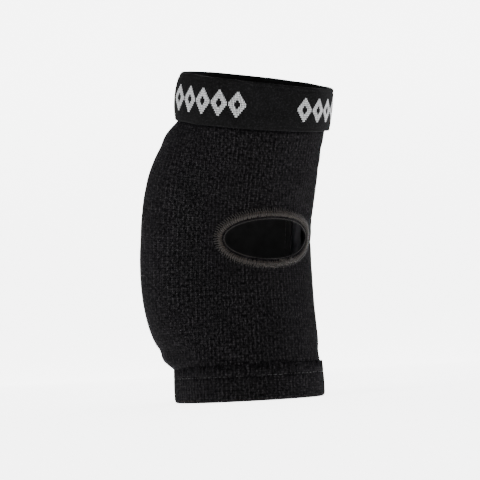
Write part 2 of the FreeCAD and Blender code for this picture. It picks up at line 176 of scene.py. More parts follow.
# --- the studio; a light is (name, degrees to the right, degrees up, metres away, size, watts, tint)
CAMERA_AZIMUTH = radians(-34.5)
CAMERA_ELEVATION = radians(-4.57)
CAMERA_RIGHT = Vector((cos(CAMERA_AZIMUTH), sin(CAMERA_AZIMUTH), 0))
CAMERA_ROLL = radians(-3.07)
CAMERA_LENS, CAMERA_SENSOR = 112.6, 36
CAMERA_DISTANCE = 1.0
CAMERA_TARGET = Vector((1.84, 4.46, 105.64)) * MM
WORLD_STRENGTH = 0.7
LIGHTS = [
    ("key", -50, 45, 1.6, 1.2, 18.5, (1, 1, 1)),
    ("fill", 55, 25, 1.8, 1.4, 7.5, (1, 0.99, 0.98)),
    ("rim", 120, 20, 1.5, 0.8, 10, (0.90, 0.90, 1.0)),
]
FLOOR_GLOW = 4.2
FLOOR_REACH, BACKDROP_HEIGHT, BACKDROP_BEND, BEND_STEPS = 3.0, 2.5, 0.8, 12
LIGHTS_AIM = Vector((0, 0, 0.1))

random = np.random.default_rng(11)


# ---- where things are
def centreline(along):
    """The centreline's points, its directions, and the directions from it to the crease."""
    turn = REST_BEND * np.clip((along - BEND_START) / (BEND_END - BEND_START), 0, 1)
    zero = np.zeros_like(turn)
    up = np.stack([zero, -np.sin(turn), np.cos(turn)], -1)
    front = np.stack([zero, -np.cos(turn), -np.sin(turn)], -1)
    bent = np.stack([zero, -BEND_RADIUS * (1 - np.cos(turn)), BEND_START + BEND_RADIUS * np.sin(turn)], -1)
    straight = np.minimum(along - BEND_START, 0) + np.maximum(along - BEND_END, 0)
    return bent + up * straight[..., None], up, front


def place(angle, along, radius):
    angle, along, radius = np.broadcast_arrays(angle, along, radius)
    point, _, front = centreline(along)
    side = np.zeros_like(point)
    side[..., 0] = radius * np.sin(angle)
    return point + side + front * (radius * np.cos(angle))[..., None]


def on_tube(angle, along, radius):
    """Places at a distance from the centreline, and the directions straight away from it."""
    path = place(angle, along, radius)
    return path, unit(path - place(angle, along, 0.0))


def signed(angle):
    """The same angle between minus and plus half a turn."""
    return (angle + pi) % (2 * pi) - pi


def smooth(x):
    x = np.clip(x, 0, 1)
    return x * x * (3 - 2 * x)


class Surface:
    """The knit's outer face: a radius for every angle and distance along, measured on the CAD model."""

    def __init__(self, nodes, low, high, step, columns):
        self.low, self.step = low, step
        self.angles = 2 * pi * np.arange(columns) / columns
        self.alongs = np.arange(low, high, step)
        self.radii = self.measure(nodes)
        from_crease = np.abs(signed(self.angles))
        front = from_crease < BACK_OF_TUBE
        edge = round(BACK_OF_TUBE / (2 * pi) * columns)
        self.radii[:, front] = ((self.radii[:, edge] + self.radii[:, -edge]) / 2)[:, None]
        for _ in range(2):
            self.soften()
        start, full = FULLNESS_ANGLES
        share = smooth((from_crease - start) / (full - start))
        for middle, spread, height in FULLNESS:
            self.radii += height * np.exp(-((self.alongs - middle) / spread) ** 2)[:, None] * share

    def measure(self, nodes):
        points, faces = [], []
        for node in nodes:
            mesh = frame["nodes"][node].data
            first = len(points)
            points += [vertex.co.copy() for vertex in mesh.vertices]
            faces += [[first + i for i in polygon.vertices] for polygon in mesh.polygons]
        tree = BVHTree.FromPolygons(points, faces)
        outside = 90 * MM
        radii = np.full((len(self.alongs), len(self.angles)), np.nan)
        for i, along in enumerate(self.alongs):
            starts = place(self.angles, along, outside)
            ends = place(self.angles, along, 0.0)
            for j, (start, end) in enumerate(zip(starts, ends)):
                distance = tree.ray_cast(Vector(start), Vector(end - start), outside)[3]
                if distance is not None:
                    radii[i, j] = outside - distance
        for column in radii.T:
            known = ~np.isnan(column) & (column > ELBOW_RADIUS - KNIT_THICK)
            column[:] = np.interp(self.alongs, self.alongs[known], column[known])
        return radii

    def soften(self):
        r = self.radii
        r = (np.roll(r, 1, 1) + 2 * r + np.roll(r, -1, 1)) / 4
        padded = np.vstack([r[:1], r, r[-1:]])
        self.radii = (padded[:-2] + 2 * padded[1:-1] + padded[2:]) / 4

    def radius(self, angle, along):
        """Smooth interpolation through the sixteen measured radii round a place."""
        angle, along = np.broadcast_arrays(angle, along)
        column = np.mod(angle, 2 * pi) / (2 * pi) * len(self.angles)
        row = np.clip((along - self.low) / self.step, 0, len(self.alongs) - 1.001)
        j, i = np.floor(column).astype(int), np.floor(row).astype(int)
        column_weights, row_weights = spline_weights(column - j), spline_weights(row - i)
        total = np.zeros(angle.shape)
        for a, row_weight in enumerate(row_weights):
            rows = np.clip(i + a - 1, 0, len(self.alongs) - 1)
            for b, column_weight in enumerate(column_weights):
                columns = (j + b - 1) % len(self.angles)
                total += row_weight * column_weight * self.radii[rows, columns]
        return total

    def settle(self):
        """Cloth simulation: the knit, with a little slack, pressed out by the foam between its sewn edges."""
        along, angle = np.meshgrid(self.alongs, self.angles, indexing="ij")
        start = place(angle, along, self.radii)
        piece = build("knit_trial", start, grid_faces(*self.radii.shape))
        sewn = (along < HEM_HEIGHT) | (along > CUFF_LOW) | (opening_scale(angle, along, 5 * MM)[0] < 1)
        pins = piece.vertex_groups.new(name="sewn")
        pins.add(np.flatnonzero(sewn.ravel()).tolist(), 1.0, "REPLACE")
        cloth = piece.modifiers.new("cloth", "CLOTH")
        cloth.point_cache.frame_end = SETTLING_FRAMES
        settings = cloth.settings
        settings.quality = 5
        settings.bending_stiffness = 0.2
        settings.vertex_group_mass = "sewn"
        settings.use_pressure = True
        settings.uniform_pressure_force = FOAM_PRESSURE
        settings.shrink_min = -KNIT_SLACK
        settings.effector_weights.gravity = 0
        for number in range(1, SETTLING_FRAMES + 1):
            bpy.context.scene.frame_set(number)
        settled = piece.evaluated_get(bpy.context.evaluated_depsgraph_get()).data
        points = np.empty(start.size)
        settled.vertices.foreach_get("co", points)
        outward = place(angle, along, 1.0) - place(angle, along, 0.0)
        lift = ((points.reshape(start.shape) - start) * outward).sum(-1)
        lift = lift - lift[~sewn].mean() * ~sewn
        self.radii += np.clip(lift * SETTLING_SHARE, -SETTLING_LIMIT, SETTLING_LIMIT)
        bpy.data.objects.remove(piece)
        bpy.context.scene.frame_set(1)

    def layer(self, angle, along, layer):
        """The radius of one face of the pad, whose bulge stands on the plain tube."""
        offset, share = layer
        tube = self.radius(0.0, along)
        return tube + offset + share * (self.radius(angle, along) - tube)

    def at(self, angle, along, lift=0.0):
        return place(angle, along, self.radius(angle, along) + lift)

    def outward(self, angle, along):
        """The directions straight out of the knit's face."""
        small = 0.2 * MM
        turn = small / ELBOW_RADIUS
        round_arm = self.at(angle + turn, along) - self.at(angle - turn, along)
        up_arm = self.at(angle, along + small) - self.at(angle, along - small)
        return unit(np.cross(round_arm, up_arm))


def spline_weights(x):
    return (
        0.5 * (-x + 2 * x ** 2 - x ** 3),
        0.5 * (2 - 5 * x ** 2 + 3 * x ** 3),
        0.5 * (x + 4 * x ** 2 - 3 * x ** 3),
        0.5 * (-x ** 2 + x ** 3),
    )


def unit(vectors):
    return vectors / np.linalg.norm(vectors, axis=-1, keepdims=True)


def wobble(angle, along, size, waves, seed):
    """Slow unevenness over the sleeve, between about plus and minus size."""
    drawn = np.random.default_rng(seed)
    total = np.zeros(np.broadcast(angle, along).shape)
    for _ in range(waves):
        round_arm = drawn.integers(2, 15)
        up_arm = drawn.uniform(-2 * pi, 2 * pi) / (45 * MM)
        total += np.sin(round_arm * angle + up_arm * along + drawn.uniform(0, 2 * pi))
    return size * total / waves ** 0.5


# ---- meshes
def grid_faces(rows, columns, closed_rows=False, closed_columns=True):
    """Quads of a grid of points stored row by row."""
    i = np.arange(rows if closed_rows else rows - 1)
    j = np.arange(columns if closed_columns else columns - 1)
    i, j = [x.ravel() for x in np.meshgrid(i, j, indexing="ij")]
    above, beside = (i + 1) % rows, (j + 1) % columns
    return np.stack([i * columns + j, i * columns + beside, above * columns + beside, above * columns + j], 1)


def add(name, data):
    """A new object in the scene."""
    piece = bpy.data.objects.new(name, data)
    bpy.context.scene.collection.objects.link(piece)
    return piece


def build(name, points, quads, triangles=None, uvs=None):
    """A smooth-shaded mesh object; points that no face uses are left out."""
    points = np.asarray(points, float).reshape(-1, 3)
    triangles = np.zeros((0, 3), int) if triangles is None else triangles
    corners = np.concatenate([quads.ravel(), triangles.ravel()])
    used, corners = np.unique(corners, return_inverse=True)
    sizes = np.concatenate([np.full(len(quads), 4), np.full(len(triangles), 3)])
    starts = np.concatenate([[0], np.cumsum(sizes)[:-1]])
    mesh = bpy.data.meshes.new(name)
    mesh.vertices.add(len(used))
    mesh.vertices.foreach_set("co", points[used].ravel())
    mesh.loops.add(len(corners))
    mesh.loops.foreach_set("vertex_index", corners.ravel())
    mesh.polygons.add(len(sizes))
    mesh.polygons.foreach_set("loop_start", starts)
    mesh.polygons.foreach_set("loop_total", sizes)
    mesh.polygons.foreach_set("use_smooth", np.ones(len(sizes), bool))
    if uvs is not None:
        layer = mesh.uv_layers.new(name="stitches")
        layer.data.foreach_set("uv", np.asarray(uvs, float).ravel())
    mesh.update(calc_edges=True)
    return add(name, mesh)


def open_edges(quads):
    """The directed edges of these quads that no other quad shares."""
    edges = np.concatenate([quads[:, [k, (k + 1) % 4]] for k in range(4)])
    size = quads.max() + 1
    there, back = edges[:, 0] * size + edges[:, 1], edges[:, 1] * size + edges[:, 0]
    return edges[~np.isin(there, back)]


def shell(name, outer, inner, quads, uv_of_point=None):
    """A closed sheet with an outer and an inner face, joined round every open edge."""
    outer, inner = outer.reshape(-1, 3), inner.reshape(-1, 3)
    count = len(outer)
    edges = open_edges(quads)
    rim = np.stack([edges[:, 1], edges[:, 0], edges[:, 0] + count, edges[:, 1] + count], 1)
    every = np.concatenate([quads, quads[:, ::-1] + count, rim])
    uvs = None
    if uv_of_point is not None:
        uvs = uv_of_point[every % count]
        wraps = uvs[..., 0].max(1) - uvs[..., 0].min(1) > WALES / 2
        uvs[..., 0] += (wraps[:, None] & (uvs[..., 0] < WALES / 2)) * WALES
    return build(name, np.concatenate([outer, inner]), every, uvs=uvs)


def wall(radius, start, end, count, share=0):
    """Points of a profile that run straight up or down."""
    return [(radius, height, share) for height in np.linspace(start, end, count)]


def turned(name, profile, columns, radius_at, uvs=False, cuff=False):
    """A closed ring: a profile of (radius, height, share), in mm, turned round the arm.

    A point's angle, height and share give radius_at's answer: how far it is moved out and up.
    """
    angles = 2 * pi * np.arange(columns) / columns
    radii, heights, shares = np.array(profile, float).T[:, :, None]
    radii, heights = radii * MM, heights * MM
    grow, rise = radius_at(angles, heights, shares)
    low = CUFF_LOW if cuff else 0.0
    points = place(angles, low + heights + rise, radii + grow)
    quads = grid_faces(len(profile), columns, closed_rows=True)
    loop_uvs = None
    if uvs:
        i, j = np.divmod(quads, columns)
        steps = np.hypot(np.diff(radii[:, 0]), np.diff(heights[:, 0]))
        lengths = np.insert(np.cumsum(steps), 0, 0)
        wraps = (j.max(1) - j.min(1) > columns / 2)[:, None] & (j == 0)
        u = (j + wraps * columns) * WALES / columns
        loop_uvs = np.stack([u, lengths[i] / COURSE], -1)
    return build(name, points, quads, uvs=loop_uvs)


def strands(name, paths, outward, radius, sides=6):
    """Threads with rounded ends. paths and outward are (threads, points, 3); radius may differ by thread."""
    count, length, _ = paths.shape
    radius = np.broadcast_to(np.asarray(radius, float), (count,))
    along = unit(np.gradient(paths, axis=1))
    side = unit(np.cross(along, outward))
    up = np.cross(side, along)
    turn = 2 * pi * np.arange(sides) / sides
    spread = side[:, :, None] * np.cos(turn)[:, None] + up[:, :, None] * np.sin(turn)[:, None]
    taper = np.ones(length)
    taper[[0, -1]] = THREAD_END_SIZE
    rings = paths[:, :, None] + spread * (radius[:, None] * taper)[:, :, None, None]
    tip = THREAD_TIP * radius[:, None]
    tips = np.stack([paths[:, 0] - along[:, 0] * tip, paths[:, -1] + along[:, -1] * tip], 1)
    per_thread = length * sides + 2
    points = np.concatenate([rings.reshape(count, -1, 3), tips], 1)
    quads = grid_faces(length, sides)
    j = np.arange(sides)
    start = np.stack([(j + 1) % sides, j, np.full(sides, length * sides)], 1)
    last = (length - 1) * sides
    end = np.stack([last + j, last + (j + 1) % sides, np.full(sides, length * sides + 1)], 1)
    first = (np.arange(count) * per_thread)[:, None, None]
    all_quads = (quads[None] + first).reshape(-1, 4)
    all_triangles = (np.concatenate([start, end])[None] + first).reshape(-1, 3)
    return build(name, points, all_quads[:, ::-1], all_triangles[:, ::-1])


def ring_strand(name, path, outward, radius, sides=6):
    """One closed thread or roll: path is (points, 3), radius is (across, out), and may differ along it."""
    along = unit(np.roll(path, -1, 0) - np.roll(path, 1, 0))
    side = unit(np.cross(along, outward))
    up = np.cross(side, along)
    turn = 2 * pi * np.arange(sides) / sides
    across, out = [np.broadcast_to(np.asarray(r, float), (len(path),))[:, None, None] for r in radius]
    points = path[:, None] + side[:, None] * np.cos(turn)[:, None] * across
    points = points + up[:, None] * np.sin(turn)[:, None] * out
    return build(name, points, grid_faces(len(path), sides, closed_rows=True)[:, ::-1])


# ---- materials
class Material:
    """A node material; its methods add nodes and return their output sockets."""

    def __init__(self, name, roughness, specular=0.3, sheen=0.0, sheen_roughness=0.5, sheen_tint=(1, 1, 1)):
        self.material = bpy.data.materials.new(name)
        self.material.use_nodes = True
        self.nodes = self.material.node_tree.nodes
        self.shader = self.nodes["Principled BSDF"]
        inputs = {"Roughness": roughness, "Specular IOR Level": specular, "Sheen Weight": sheen,
                  "Sheen Roughness": sheen_roughness, "Sheen Tint": sheen_tint}
        for key, value in inputs.items():
            self.feed(self.shader.inputs[key], value)

    def feed(self, socket, value):
        """Give a socket a number, a colour or vector, or the output of another node."""
        if isinstance(value, (int, float)):
            socket.default_value = value
        elif isinstance(value, tuple):
            socket.default_value = (*value, 1)[:len(socket.default_value)]
        else:
            self.material.node_tree.links.new(value, socket)

    def node(self, kind, inputs, **settings):
        node = self.nodes.new("ShaderNode" + kind)
        for name, value in settings.items():
            setattr(node, name, value)
        for key, value in inputs.items():
            self.feed(node.inputs[key], value)
        return node

    def position(self):
        return self.node("TexCoord", {}).outputs["Object"]

    def stitch_place(self):
        return self.node("UVMap", {}, uv_map="stitches").outputs["UV"]

    def stitches(self):
        """The place in the knit: wales round the arm, and courses up it."""
        split = self.node("SeparateXYZ", {0: self.stitch_place()})
        return split.outputs[0], split.outputs[1]

    def math(self, operation, *values):
        return self.node("Math", dict(enumerate(values)), operation=operation).outputs[0]

    def noise(self, scale, detail=3.0, where=None, stretch=(1, 1, 1)):
        mapping = self.node("Mapping", {"Scale": stretch, "Vector": where or self.position()})
        inputs = {"Scale": scale, "Detail": detail, "Vector": mapping.outputs[0]}
        return self.node("TexNoise", inputs).outputs["Fac"]

    def patches(self, scale, dark, light, start=0.3):
        """Soft uneven patches between two colours."""
        return self.ramp(self.noise(scale), [(start, dark), (0.7, light)])

    def ramp(self, factor, stops):
        node = self.nodes.new("ShaderNodeValToRGB")
        elements = node.color_ramp.elements
        while len(elements) < len(stops):
            elements.new(0.5)
        for element, (position, colour) in zip(elements, stops):
            element.position = position
            element.color = (*colour, 1)
        self.feed(node.inputs[0], factor)
        return node.outputs[0]

    def mix(self, factor, a, b, blend="MIX"):
        """A blend of two colours, which go into the node's sockets 6 and 7."""
        inputs = {0: factor, 6: a, 7: b}
        return self.node("Mix", inputs, data_type="RGBA", blend_type=blend).outputs[2]

    def times(self, a, b):
        return self.mix(1.0, a, b, "MULTIPLY")

    def colour(self, socket):
        self.feed(self.shader.inputs["Base Color"], socket)

    def bump(self, height, distance, strength=1.0, under=None):
        inputs = {"Strength": strength, "Distance": distance, "Height": height}
        if under is not None:
            inputs["Normal"] = under
        bumped = self.node("Bump", inputs).outputs[0]
        self.feed(self.shader.inputs["Normal"], bumped)
        return bumped


def greys(*stops):
    """Stops of grey for a ramp, from (position, level) pairs."""
    return [(position, (level, level, level)) for position, level in stops]


def loop_height(m):
    """Knitted loops: two legs that lean together in every wale, one pair for every course."""
    wale, row = m.stitches()
    leg_place = m.math("FRACT", m.math("ADD", m.math("MULTIPLY", wale, 2.0), 0.5))
    across = m.math("ABSOLUTE", m.math("SUBTRACT", leg_place, 0.5))
    lean = m.math("MULTIPLY", across, 1.1)
    course = m.math("FRACT", m.math("ADD", row, lean))
    leg = m.math("SINE", m.math("MULTIPLY", course, pi))
    hump = m.math("SINE", m.math("MULTIPLY", across, 2 * pi))
    return m.math("MULTIPLY", m.math("POWER", m.math("ABSOLUTE", leg), 0.7), m.math("ABSOLUTE", hump))


def rib_painted_shade(m):
    """Painted shade: pale on the ribs and black in the two grooves of every wale."""
    wale, _ = m.stitches()
    broad = [(0.0, 0.10), (0.13, 0.85), (0.33, 1.0), (0.53, 0.85)]
    narrow = [(0.667, 0.10), (0.83, 0.75), (1.0, 0.10)]
    return m.ramp(m.math("FRACT", wale), greys(*broad, *narrow))


def cuff_gap_painted_shade(m):
    """Painted shadow: black on the knit in the crevice under the cuff's lower edge."""
    wale, row = m.stitches()
    turn = m.math("SUBTRACT", m.math("MULTIPLY", wale, 2 * pi / WALES), CUFF_SKEW_ANGLE)
    skew = m.math("ADD", m.math("MULTIPLY", m.math("COSINE", turn), CUFF_SKEW), CUFF_SKEW_LOW + CUFF_LOW)
    below = m.math("SUBTRACT", skew, m.math("MULTIPLY", row, COURSE))
    return m.ramp(m.math("DIVIDE", below, CUFF_GAP), greys((0.5, 0.02), (1.0, 1.0)))


def hem_pucker_painted_shade(m):
    """Painted shade: black in the puckers along the hem's upper edge and beside its stitches."""
    _, row = m.stitches()
    blots = m.noise(1.0, 1.0, m.stitch_place(), stretch=(0.50, 0.9, 1))
    puckers = m.ramp(blots, greys((0.47, 0.04), (0.57, 1.0)))
    seam = (HEM_HEIGHT - HEM_STITCH_ALONG) / COURSE + 1.2
    edge_band = [(0.4, 0), (0.9, 0.9), (2.0, 0.9), (2.6, 0)]
    seam_band = [(seam - 0.9, 0), (seam - 0.4, 0.8), (seam + 0.5, 0.8), (seam + 1.0, 0)]
    reach = HEM_HEIGHT / COURSE
    bands = greys(*[(rows / reach, level) for rows, level in edge_band + seam_band])
    return m.mix(m.ramp(m.math("DIVIDE", row, reach), bands), (1, 1, 1), puckers)


def knit_material(name, shade):
    m = Material(name, 0.88, specular=0.02, sheen=0.010, sheen_roughness=0.45, sheen_tint=(0.88, 0.82, 1.0))
    loops = loop_height(m)
    patches = m.patches(55, (0.0108, 0.0101, 0.0104), (0.0165, 0.0156, 0.0161))
    # Painted shade: the rib grooves darkened in the colour.
    ribbed = m.times(patches, rib_painted_shade(m))
    # Painted shade between the loops, with paler loop crowns, multiplied into the colour.
    looped = m.times(ribbed, m.mix(loops, (0.06, 0.06, 0.06), (1.6, 1.6, 1.6)))
    strokes = m.noise(1.0, 1.0, m.stitch_place(), stretch=(2.3, 0.80, 1))
    uneven = m.ramp(strokes, greys((0.38, 0.01), (0.50, 0.38), (0.62, 1.0)))
    # Painted shade from the piece's own function: under the cuff's edge on the sleeve, in the puckers on the
    # hem.
    yarn = m.times(m.times(looped, uneven), shade(m))
    flecks = m.ramp(m.noise(1000, 2), greys((0.60, 0), (0.76, 1)))
    m.colour(m.mix(m.math("MULTIPLY", flecks, 0.5), yarn, (0.030, 0.028, 0.031)))
    fuzz = m.bump(m.noise(2600, 2), 0.12 * MM, 0.5)
    m.bump(loops, 0.45 * MM, 1.0, fuzz)
    return m.material


def elastic_material():
    m = Material("woven_elastic", 0.85, specular=0.03, sheen=0.008, sheen_roughness=0.4)
    patches = m.patches(70, (0.0008, 0.0008, 0.0008), (0.0018, 0.0018, 0.0019))
    grain = m.noise(900, 2, stretch=(1, 1, 1.6))
    flecks = m.ramp(grain, greys((0.50, 0), (0.72, 1)))
    m.colour(m.mix(m.math("MULTIPLY", flecks, 0.5), patches, (0.011, 0.0107, 0.0115)))
    m.bump(grain, 0.25 * MM, 0.7)
    return m.material


def thread_material(name, dark, light, roughness=0.6, sheen=0.1, scale=900):
    m = Material(name, roughness, specular=0.2, sheen=sheen)
    m.colour(m.patches(scale, dark, light, 0.35))
    m.bump(m.noise(3800, 2), 0.08 * MM, 0.6)
    return m.material


def foam_material():
    m = Material("closed_cell_foam", 0.9)
    cells = m.node("TexVoronoi", {"Scale": 900, "Vector": m.position()})
    m.colour(m.patches(60, (0.050, 0.050, 0.056), (0.085, 0.085, 0.092)))
    m.bump(cells.outputs["Distance"], 0.3 * MM, 0.7)
    return m.material


def lining_material():
    m = Material("tricot_lining", 0.8, specular=0.1, sheen=0.02)
    m.colour(m.patches(120, (0.0050, 0.0050, 0.0052), (0.0085, 0.0085, 0.0090)))
    m.bump(m.noise(1500, 2, stretch=(1, 1, 3)), 0.15 * MM, 0.6)
    return m.material


def floor_material():
    m = Material("pale_floor", 0.9, specular=0.1)
    m.colour(m.patches(6, (0.88, 0.88, 0.88), (0.92, 0.92, 0.92)))
    m.feed(m.shader.inputs["Emission Color"], (1, 1, 1))
    m.feed(m.shader.inputs["Emission Strength"], FLOOR_GLOW)
    return m.material


THREADS = {
    "motif": ("motif_yarn", (0.17, 0.172, 0.175), (0.36, 0.365, 0.37), 0.75, 0.1, 1400),
    "binding": ("binding_silk", (0.0062, 0.0046, 0.0034), (0.0150, 0.0108, 0.0080), 0.5, 0.01),
    "roll_filling": ("roll_filling", (0.0012, 0.0010, 0.0009), (0.0040, 0.0034, 0.0030), 0.7, 0.0),
    "tail_thread": ("tail_silk", (0.001, 0.0008, 0.0006), (0.020, 0.0156, 0.0124), 0.45, 0.01),
    "needle_thread": ("needle_thread", (0.003, 0.0024, 0.0020), (0.0115, 0.0091, 0.0074), 0.55, 0.01),
    "black_thread": ("black_thread", (0.0015, 0.0014, 0.0015), (0.012, 0.0115, 0.012), 0.6, 0.01),
    "rubber_thread": ("covered_rubber", (0.18, 0.17, 0.16), (0.30, 0.29, 0.27), 0.7, 0.1),
}
MATERIALS = {key: thread_material(*looks) for key, looks in THREADS.items()}
MATERIALS.update(
    knit=knit_material("rib_knit", cuff_gap_painted_shade),
    hem_knit=knit_material("rib_knit_hem", hem_pucker_painted_shade),
    elastic=elastic_material(),
    foam=foam_material(),
    lining=lining_material(),
)


def finish_piece(piece, slot, replaced=(), body=None, material=None):
    """Material, chosen by slot unless another is named; the CAD nodes it stands for, which are hidden; and
    the body it rides; without a body its transform is baked into its points.
    """
    piece.data.materials.append(MATERIALS[material or slot])
    if replaced:
        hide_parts(*replaced)
    if body:
        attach(piece, body)
    else:
        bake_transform(piece)
    return piece


# ---- the crease opening
def shortening(angle):
    """How much shorter the bent tube's wall is than its centreline there."""
    return 1 - ELBOW_RADIUS * np.cos(angle) / BEND_RADIUS


def by_side(x, pair):
    """One value on the opening's left side and another on its right."""
    return np.where(x > 0, pair[1], pair[0])


def opening_outline(turn, grow):
    """(angle, along) of the line that lies grow outside the middle of the opening's roll."""
    c, s = np.cos(turn), np.sin(turn)
    power = by_side(c, OPENING_POWER)
    x = (by_side(c, OPENING_REACH) * ELBOW_RADIUS + grow) * np.abs(c) ** (2 / power) * np.sign(c)
    y = (OPENING_HALF_HEIGHT + grow) * np.abs(s) ** (2 / power) * np.sign(s)
    return from_opening_axes(x, y)


def opening_scale(angle, along, grow):
    """1 on that line, less inside it and more outside it, with the place in the opening's own axes."""
    angle = signed(angle)
    x = (angle - OPENING_PEAK) * ELBOW_RADIUS
    y = (along - CREASE_ALONG) * shortening(angle)
    x, y = x * cos(OPENING_TILT) + y * sin(OPENING_TILT), y * cos(OPENING_TILT) - x * sin(OPENING_TILT)
    power = by_side(x, OPENING_POWER)
    wide = by_side(x, OPENING_REACH) * ELBOW_RADIUS + grow
    high = OPENING_HALF_HEIGHT + grow
    scale = (np.abs(x / wide) ** power + np.abs(y / high) ** power) ** (1 / power)
    return scale, x, y


def from_opening_axes(x, y):
    x, y = x * cos(OPENING_TILT) - y * sin(OPENING_TILT), y * cos(OPENING_TILT) + x * sin(OPENING_TILT)
    angle = OPENING_PEAK + x / ELBOW_RADIUS
    return angle, CREASE_ALONG + y / shortening(angle)


def even_turns(count, grow):
    """Turns that divide the opening's outline into equal lengths."""
    fine = np.linspace(0, 2 * pi, 4001)
    angle, along = opening_outline(fine, grow)
    step = np.hypot(np.diff(angle) * ELBOW_RADIUS, np.diff(along) * shortening(angle[:-1]))
    length = np.insert(np.cumsum(step), 0, 0)
    return np.interp(np.arange(count) / count * length[-1], length, fine)


def roll_frame(turns):
    """Points along the middle of the roll, with the directions along it, away from the hole, and outward."""
    middle = -KNIT_THICK / 2
    angle, along = opening_outline(turns, 0.0)
    path = SURFACE.at(angle, along, middle)
    ahead = SURFACE.at(*opening_outline(turns + 0.01, 0.0), middle)
    behind = SURFACE.at(*opening_outline(turns - 0.01, 0.0), middle)
    heading = unit(ahead - behind)
    outward = SURFACE.outward(angle, along)
    away = unit(np.cross(heading, outward))
    return path, heading, away, np.cross(away, heading)


def roll_fullness(turns):
    """The roll's size along it, as a share: it runs out thin beside its tail."""
    return 1 - ROLL_THINNING * np.exp(-(signed(turns - ROLL_THIN_TURN) / ROLL_THIN_REACH) ** 2)


def crease_roll():
    turns = even_turns(ROLL_POINTS, 0.0)
    path, _, away, outward = roll_frame(turns)
    uneven = 1 + 0.05 * np.sin(9 * turns + 1.0) + 0.04 * np.sin(23 * turns)
    path = path + away * ROLL_OUTSIDE
    core = ROLL_CORE * uneven * roll_fullness(turns)
    piece = ring_strand("crease_roll", path, outward, (ROLL_HALF_WIDTH * core, ROLL_HALF_THICK * core), 20)
    finish_piece(piece, "binding", ["crease_binding_roll"], material="roll_filling")


def crease_loops():
    """The overlock's threads, wrapped over the roll from the knit to the hole and under it."""
    count = OVERLOCK_STITCHES
    turns = even_turns(count, 0.0) + random.normal(0, 0.004, count)
    path, heading, away, outward = roll_frame(turns)
    reach = 13
    phi = np.linspace(WRAP_START, WRAP_END, reach)
    lean = (0.5 + 0.3 * random.standard_normal(count))[:, None] * MM
    lift = (0.12 * MM + 0.12 * MM * random.random(count))[:, None]
    fullness = roll_fullness(turns)[:, None]
    across = ROLL_OUTSIDE + (ROLL_HALF_WIDTH * fullness + lift) * np.cos(phi)
    out = (ROLL_HALF_THICK * fullness + lift) * np.sin(phi)
    slide = lean * np.linspace(-1, 1, reach)
    paths = (path[:, None] + away[:, None] * across[..., None] + outward[:, None] * out[..., None]
             + heading[:, None] * slide[..., None])
    normals = away[:, None] * np.cos(phi)[:, None] + outward[:, None] * np.sin(phi)[:, None]
    radius = random.uniform(0.30, 0.44, count) * MM
    wraps = strands("crease_wraps", paths, normals, radius)
    finish_piece(wraps, "binding", ["crease_binding_loops"])
    path, _, away, outward = roll_frame(even_turns(EDGE_POINTS, 0.0))
    weave = np.sin(np.arange(EDGE_POINTS) * 2 * pi * EDGE_WEAVES / EDGE_POINTS)[:, None]
    inner = path - away * (EDGE_INSIDE + 0.12 * MM * weave) + outward * (0.60 + 0.10 * weave) * MM
    chain = ring_strand("crease_edge_thread", inner, outward, (0.17 * MM, 0.17 * MM))
    finish_piece(chain, "binding", material="needle_thread")


def crease_needle_threads():
    """The overlock's needle thread on the knit: legs side by side that reach out from under the roll."""
    step = np.linspace(0, 1, 6)
    start = 1.4 * MM
    paths, normals = [], []
    for turn in even_turns(OVERLOCK_STITCHES, 3.0 * MM):
        upper_left = smooth(-cos(turn + 0.6))
        end = random.normal(3.1 + 1.2 * upper_left, 0.16) * MM
        grow = start + (end - start) * step
        sweep = turn + step * random.normal(0.006, 0.005)
        angle, along = opening_outline(sweep, grow)
        lift = (0.16 + 0.40 * np.cos(pi / 2 * step)) * MM
        paths.append(SURFACE.at(angle, along, lift))
        normals.append(SURFACE.outward(angle, along))
    thick = random.uniform(0.19, 0.28, OVERLOCK_STITCHES) * MM
    piece = strands("crease_needle_thread", np.array(paths), np.array(normals), thick)
    finish_piece(piece, "black_thread", ["crease_binding_needle_thread"], material="needle_thread")


def crease_tail():
    """The overlock's end, run on over its own start and sewn back: loops of thread along the roll."""
    reach = np.linspace(0, 1, 48)
    paths, normals, radii = [], [], []
    for k in range(10):
        start = random.uniform(TAIL_TURNS[0], TAIL_TURNS[1] - 0.3)
        turns = start + reach * random.uniform(0.20, 0.42)
        curl = random.uniform(0.2, 0.9) * np.sin(reach * random.uniform(9, 15) + k)
        turns = turns + 0.035 * curl
        path, heading, away, outward = roll_frame(turns)
        swing = random.uniform(0.7, 1.5) * np.cos(reach * random.uniform(6, 11) + 2 * k)
        away_by = ROLL_OUTSIDE + (swing + random.uniform(-1.6, 1.3)) * MM
        over = np.clip(1 - ((away_by - ROLL_OUTSIDE) / (ROLL_HALF_WIDTH * 1.35)) ** 2, 0.04, 1)
        lift = ROLL_HALF_THICK * np.sqrt(over) + (0.72 + 0.25 * np.sin(reach * 9 + k)) * MM
        paths.append(path + away * away_by[:, None] + outward * lift[:, None])
        normals.append(outward)
        radii.append(random.uniform(0.20, 0.30) * MM)
    piece = strands("crease_thread_tail", np.array(paths), np.array(normals), radii)
    finish_piece(piece, "binding", ["crease_binding_tail"], material="tail_thread")


# ---- the sleeve
def ribs(angle):
    """A broad rib and a narrow one in every wale, between two grooves."""
    column = np.round(np.mod(angle, 2 * pi) / (2 * pi) * COLUMNS).astype(int)
    return RIB_HEIGHT * (RIB_PROFILE[column % COLUMNS_PER_WALE] - 1)


